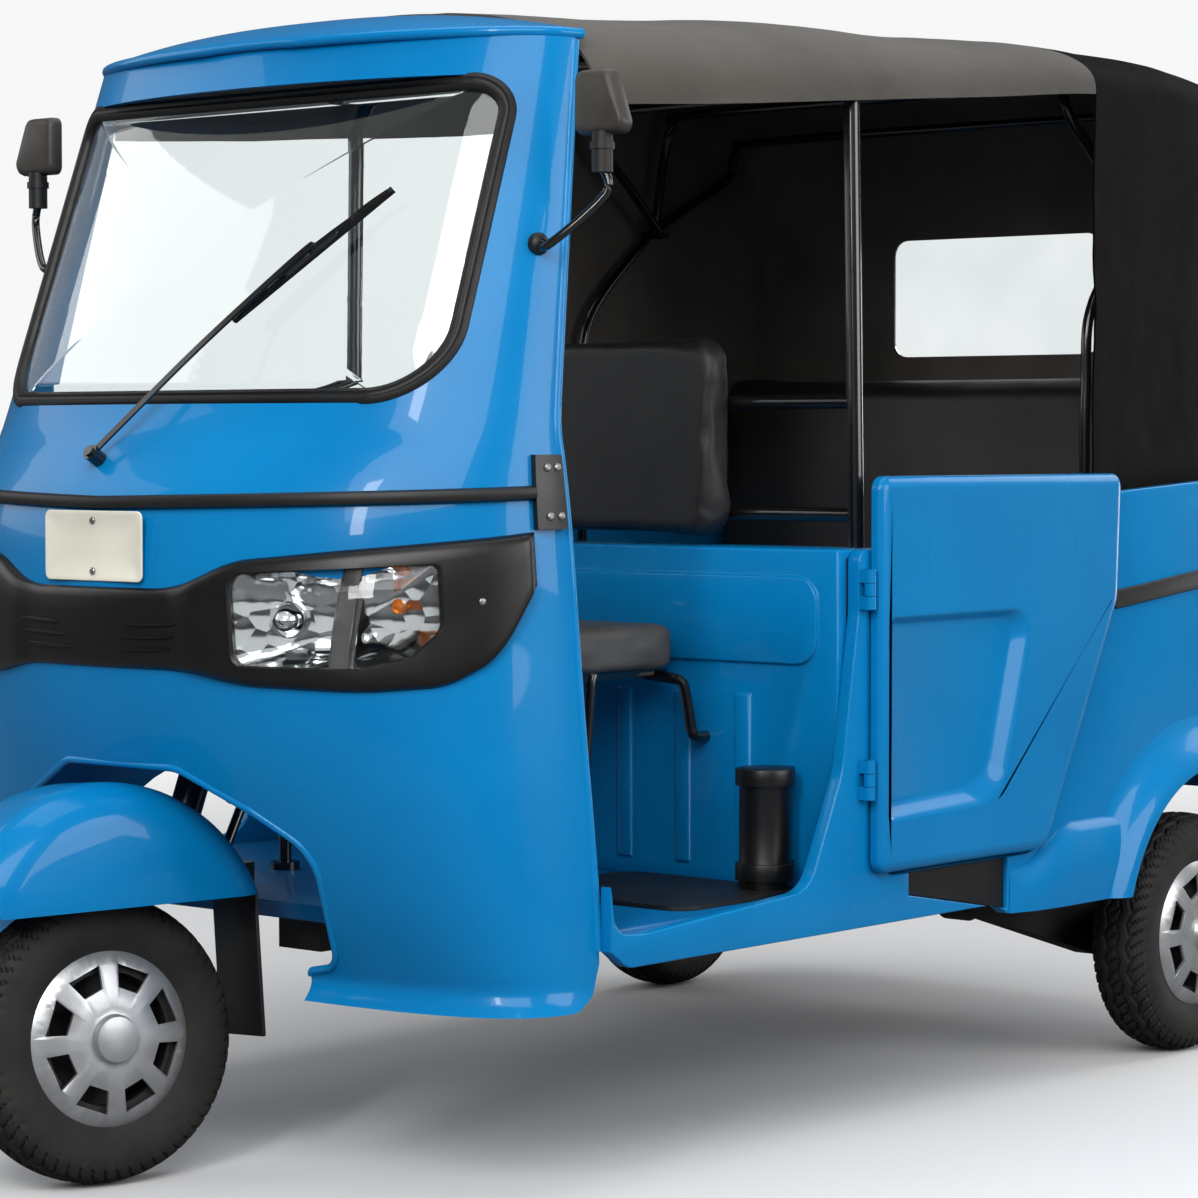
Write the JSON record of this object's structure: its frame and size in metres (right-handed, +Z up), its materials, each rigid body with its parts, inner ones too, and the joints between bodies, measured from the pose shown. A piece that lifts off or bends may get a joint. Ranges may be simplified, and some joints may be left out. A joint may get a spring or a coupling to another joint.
{
  "type": "auto rickshaw",
  "caption": "Passenger auto rickshaw with a rounded painted cab, wrap-round lamps, folding fabric hood, half doors, a steered front wheel and covered rear wheels.",
  "frame": {"origin": "on the ground, under the middle of the bounding box", "axes": "+Z up, -Y to the front, +X to the vehicle's left"},
  "size_m": [1.36, 2.648, 1.758],
  "materials": {
    "paint": "gloss",
    "black_paint": "satin",
    "black_plastic": "satin",
    "rubber": "matte",
    "tyre": "matte",
    "glass": "clear",
    "lamp": "clear",
    "tail_lamp": "gloss",
    "plate": "satin",
    "hood_grey": "matte",
    "hood_black": "matte",
    "seat": "satin",
    "steel": "satin",
    "silver": "satin",
    "housing": "satin"
  },
  "bodies": {
    "body": {"front_shell": "paint", "roof_cap": "paint", "wheel_house": "black_paint", "steering_head": "black_paint", "windscreen": "glass", "windscreen_rubber": "rubber", "lamp_mask": "black_plastic", "headlamps": "lamp", "front_strip": "black_plastic", "front_plate": "plate", "wiper": "black_paint", "mirrors": "housing", "dashboard": "black_plastic", "floor_pan": "paint", "partition": "paint", "body_side_left": "paint", "body_side_right": "paint", "side_strips": "black_plastic", "seat_shelf": "paint", "tail_panel": "paint", "tail_lamps": "tail_lamp", "hood_front": "hood_grey", "hood_rear_half": "hood_black", "hood_back": "hood_black", "rear_window": "glass", "hood_frame": "black_paint", "grab_rails": "black_paint", "driver_seat": "seat", "driver_backrest": "seat", "seat_frame": "black_paint", "passenger_seat": "seat", "passenger_backrest": "seat", "canister": "black_plastic", "brake_pedal": "black_paint", "chassis_spine": "black_paint", "rear_arms": "black_paint", "rear_dampers": "steel", "engine": "steel", "silencer": "black_paint"},
    "steering": {"fork": "black_paint", "handlebar": "black_paint", "front_guard": "paint", "mud_flap": "rubber"},
    "front_wheel": {"front_tyre": "tyre", "front_rim": "black_paint", "front_cover": "silver"},
    "left_wheel": {"left_tyre": "tyre", "left_rim": "black_paint", "left_cover": "silver"},
    "right_wheel": {"right_tyre": "tyre", "right_rim": "black_paint", "right_cover": "silver"},
    "left_door": {"door_left": "paint"},
    "right_door": {"door_right": "paint"},
    "rear_lid": {"tail_lid": "paint"}
  },
  "joints": [
    {"name": "steering_turn", "type": "hinge", "parent": "body", "child": "steering", "pos_m": [0, -1.03275, 0.20796], "axis": [0, -0.3746, -0.9272], "range_deg": [-54, 26]},
    {"name": "front_wheel_spin", "type": "hinge", "parent": "steering", "child": "front_wheel", "pos_m": [-0.00987, -1.07563, 0.20751], "axis": [0.9703, -0.2243, 0.0906], "continuous": true},
    {"name": "left_wheel_spin", "type": "hinge", "parent": "body", "child": "left_wheel", "pos_m": [0.575, 0.90825, 0.207], "axis": [1, 0, 0], "continuous": true},
    {"name": "right_wheel_spin", "type": "hinge", "parent": "body", "child": "right_wheel", "pos_m": [-0.575, 0.90825, 0.207], "axis": [1, 0, 0], "continuous": true},
    {"name": "left_door_swing", "type": "hinge", "parent": "body", "child": "left_door", "pos_m": [0.6365, -0.08175, 0.69], "axis": [0, 0, -1], "range_deg": [0, 80]},
    {"name": "right_door_swing", "type": "hinge", "parent": "body", "child": "right_door", "pos_m": [-0.6365, -0.08175, 0.69], "axis": [0, 0, 1], "range_deg": [0, 80]},
    {"name": "rear_lid_lift", "type": "hinge", "parent": "body", "child": "rear_lid", "pos_m": [0, 1.31925, 0.745], "axis": [1, 0, 0], "range_deg": [0, 70]}
  ]
}
